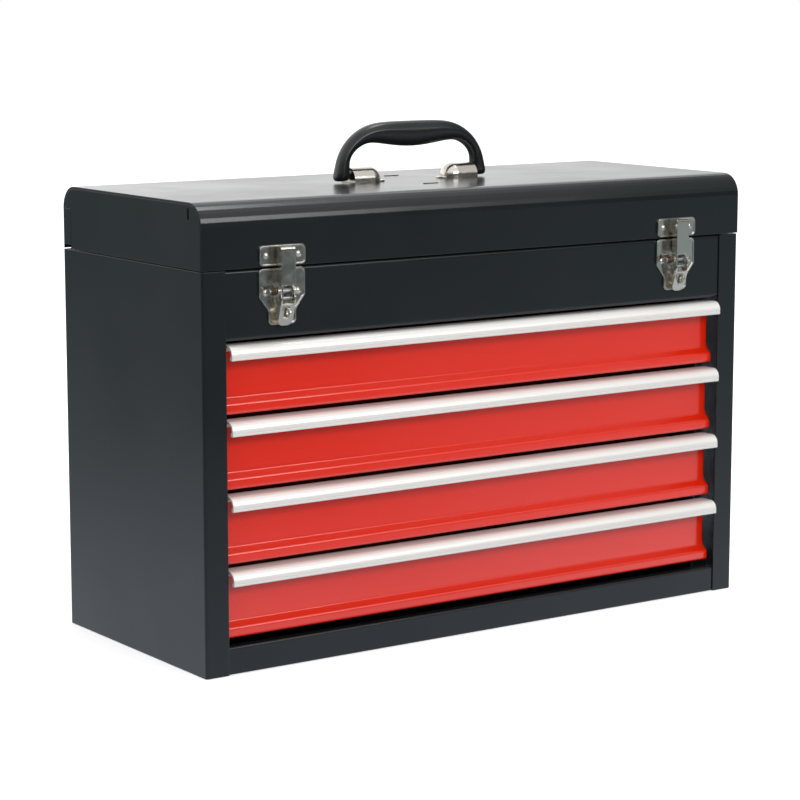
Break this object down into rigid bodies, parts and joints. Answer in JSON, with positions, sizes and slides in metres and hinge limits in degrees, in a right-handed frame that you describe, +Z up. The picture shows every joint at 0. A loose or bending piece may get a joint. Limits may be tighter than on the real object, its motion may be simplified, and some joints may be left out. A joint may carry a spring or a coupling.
{
  "type": "portable tool chest with drawers",
  "caption": "Portable sheet steel tool chest: lift-up lid with folding carrying handle, top till, draw latches and shallow ball-slide drawers with full-width finger pulls.",
  "frame": {"origin": "middle of the underside, on the surface that the chest stands on", "axes": "+X to the right as one faces the drawers, -Y to the front where the drawers open, +Z up"},
  "size_m": [0.52, 0.2318, 0.4009],
  "materials": {
    "dark_powder_coat": "satin anthracite powder coat",
    "red_powder_coat": "glossy red-orange powder coat",
    "satin_aluminium": "satin anodised extrusion",
    "bright_nickel": "bright nickel-plated steel",
    "zinc_plated_steel": "clear zinc plate",
    "ball_steel": "polished bearing steel",
    "spring_steel": "oil-tempered spring wire",
    "black_plastic": "moulded black plastic with a soft sheen"
  },
  "bodies": {
    "cabinet": {"left_side_panel": "dark_powder_coat", "right_side_panel": "dark_powder_coat", "back_panel": "dark_powder_coat", "bottom_panel": "dark_powder_coat", "upper_front_panel": "dark_powder_coat", "till_floor": "dark_powder_coat", "slide_posts": "zinc_plated_steel", "outer_rails_1": "zinc_plated_steel", "outer_rails_2": "zinc_plated_steel", "outer_rails_3": "zinc_plated_steel", "outer_rails_4": "zinc_plated_steel", "hinge_body_leaves": "zinc_plated_steel", "hinge_pins": "zinc_plated_steel", "body_rivets": "bright_nickel", "latch_left_base": "bright_nickel", "latch_right_base": "bright_nickel", "latch_left_spring": "spring_steel", "latch_right_spring": "spring_steel", "latch_pivot_pins": "zinc_plated_steel"},
    "lid": {"lid_skin": "dark_powder_coat", "lid_end_left": "dark_powder_coat", "lid_end_right": "dark_powder_coat", "hinge_lid_leaves": "zinc_plated_steel", "latch_left_keeper": "bright_nickel", "latch_right_keeper": "bright_nickel", "handle_bracket_left": "bright_nickel", "handle_bracket_right": "bright_nickel", "lid_rivets": "bright_nickel", "handle_pins": "zinc_plated_steel"},
    "carrying_handle": {"handle_grip": "black_plastic"},
    "left_latch_lever": {"latch_left_lever": "bright_nickel", "latch_left_link_pin": "zinc_plated_steel"},
    "left_latch_link": {"latch_left_link": "bright_nickel"},
    "right_latch_lever": {"latch_right_lever": "bright_nickel", "latch_right_link_pin": "zinc_plated_steel"},
    "right_latch_link": {"latch_right_link": "bright_nickel"},
    "drawer_1": {"drawer_1_tray": "red_powder_coat", "drawer_1_front": "red_powder_coat", "drawer_1_pull": "satin_aluminium", "drawer_1_inner_rails": "zinc_plated_steel"},
    "slide_cages_1": {"drawer_1_ball_cages": "zinc_plated_steel", "drawer_1_balls": "ball_steel"},
    "drawer_2": {"drawer_2_tray": "red_powder_coat", "drawer_2_front": "red_powder_coat", "drawer_2_pull": "satin_aluminium", "drawer_2_inner_rails": "zinc_plated_steel"},
    "slide_cages_2": {"drawer_2_ball_cages": "zinc_plated_steel", "drawer_2_balls": "ball_steel"},
    "drawer_3": {"drawer_3_tray": "red_powder_coat", "drawer_3_front": "red_powder_coat", "drawer_3_pull": "satin_aluminium", "drawer_3_inner_rails": "zinc_plated_steel"},
    "slide_cages_3": {"drawer_3_ball_cages": "zinc_plated_steel", "drawer_3_balls": "ball_steel"},
    "drawer_4": {"drawer_4_tray": "red_powder_coat", "drawer_4_front": "red_powder_coat", "drawer_4_pull": "satin_aluminium", "drawer_4_inner_rails": "zinc_plated_steel"},
    "slide_cages_4": {"drawer_4_ball_cages": "zinc_plated_steel", "drawer_4_balls": "ball_steel"}
  },
  "joints": [
    {"name": "lid_hinge", "type": "hinge", "parent": "cabinet", "child": "lid", "pos_m": [0, 0.10985, 0.3044], "axis": [-1, 0, 0], "range_deg": [0, 100]},
    {"name": "handle_fold", "type": "hinge", "parent": "lid", "child": "carrying_handle", "pos_m": [0, 0, 0.362], "axis": [1, 0, 0], "range_deg": [-90, 90]},
    {"name": "left_latch_lift", "type": "hinge", "parent": "cabinet", "child": "left_latch_lever", "pos_m": [-0.1915, -0.1117, 0.287], "axis": [-1, 0, 0], "range_deg": [0, 90]},
    {"name": "left_link_swing", "type": "hinge", "parent": "left_latch_lever", "child": "left_latch_link", "pos_m": [-0.1915, -0.1117, 0.2815], "axis": [-1, 0, 0], "range_deg": [-90, 0]},
    {"name": "right_latch_lift", "type": "hinge", "parent": "cabinet", "child": "right_latch_lever", "pos_m": [0.1915, -0.1117, 0.287], "axis": [-1, 0, 0], "range_deg": [0, 90]},
    {"name": "right_link_swing", "type": "hinge", "parent": "right_latch_lever", "child": "right_latch_link", "pos_m": [0.1915, -0.1117, 0.2815], "axis": [-1, 0, 0], "range_deg": [-90, 0]},
    {"name": "drawer_1_slide", "type": "slide", "parent": "cabinet", "child": "drawer_1", "axis": [0, -1, 0], "range_m": [0, 0.14]},
    {"name": "cages_1_roll", "type": "slide", "parent": "cabinet", "child": "slide_cages_1", "axis": [0, -1, 0], "range_m": [0, 0.07]},
    {"name": "drawer_2_slide", "type": "slide", "parent": "cabinet", "child": "drawer_2", "axis": [0, -1, 0], "range_m": [0, 0.14]},
    {"name": "cages_2_roll", "type": "slide", "parent": "cabinet", "child": "slide_cages_2", "axis": [0, -1, 0], "range_m": [0, 0.07]},
    {"name": "drawer_3_slide", "type": "slide", "parent": "cabinet", "child": "drawer_3", "axis": [0, -1, 0], "range_m": [0, 0.14]},
    {"name": "cages_3_roll", "type": "slide", "parent": "cabinet", "child": "slide_cages_3", "axis": [0, -1, 0], "range_m": [0, 0.07]},
    {"name": "drawer_4_slide", "type": "slide", "parent": "cabinet", "child": "drawer_4", "axis": [0, -1, 0], "range_m": [0, 0.14]},
    {"name": "cages_4_roll", "type": "slide", "parent": "cabinet", "child": "slide_cages_4", "axis": [0, -1, 0], "range_m": [0, 0.07]}
  ],
  "couplings": [
    {"joint": "left_link_swing", "follows": "left_latch_lift", "ratio": -1},
    {"joint": "right_link_swing", "follows": "right_latch_lift", "ratio": -1},
    {"joint": "cages_1_roll", "follows": "drawer_1_slide", "ratio": 0.5},
    {"joint": "cages_2_roll", "follows": "drawer_2_slide", "ratio": 0.5},
    {"joint": "cages_3_roll", "follows": "drawer_3_slide", "ratio": 0.5},
    {"joint": "cages_4_roll", "follows": "drawer_4_slide", "ratio": 0.5}
  ]
}
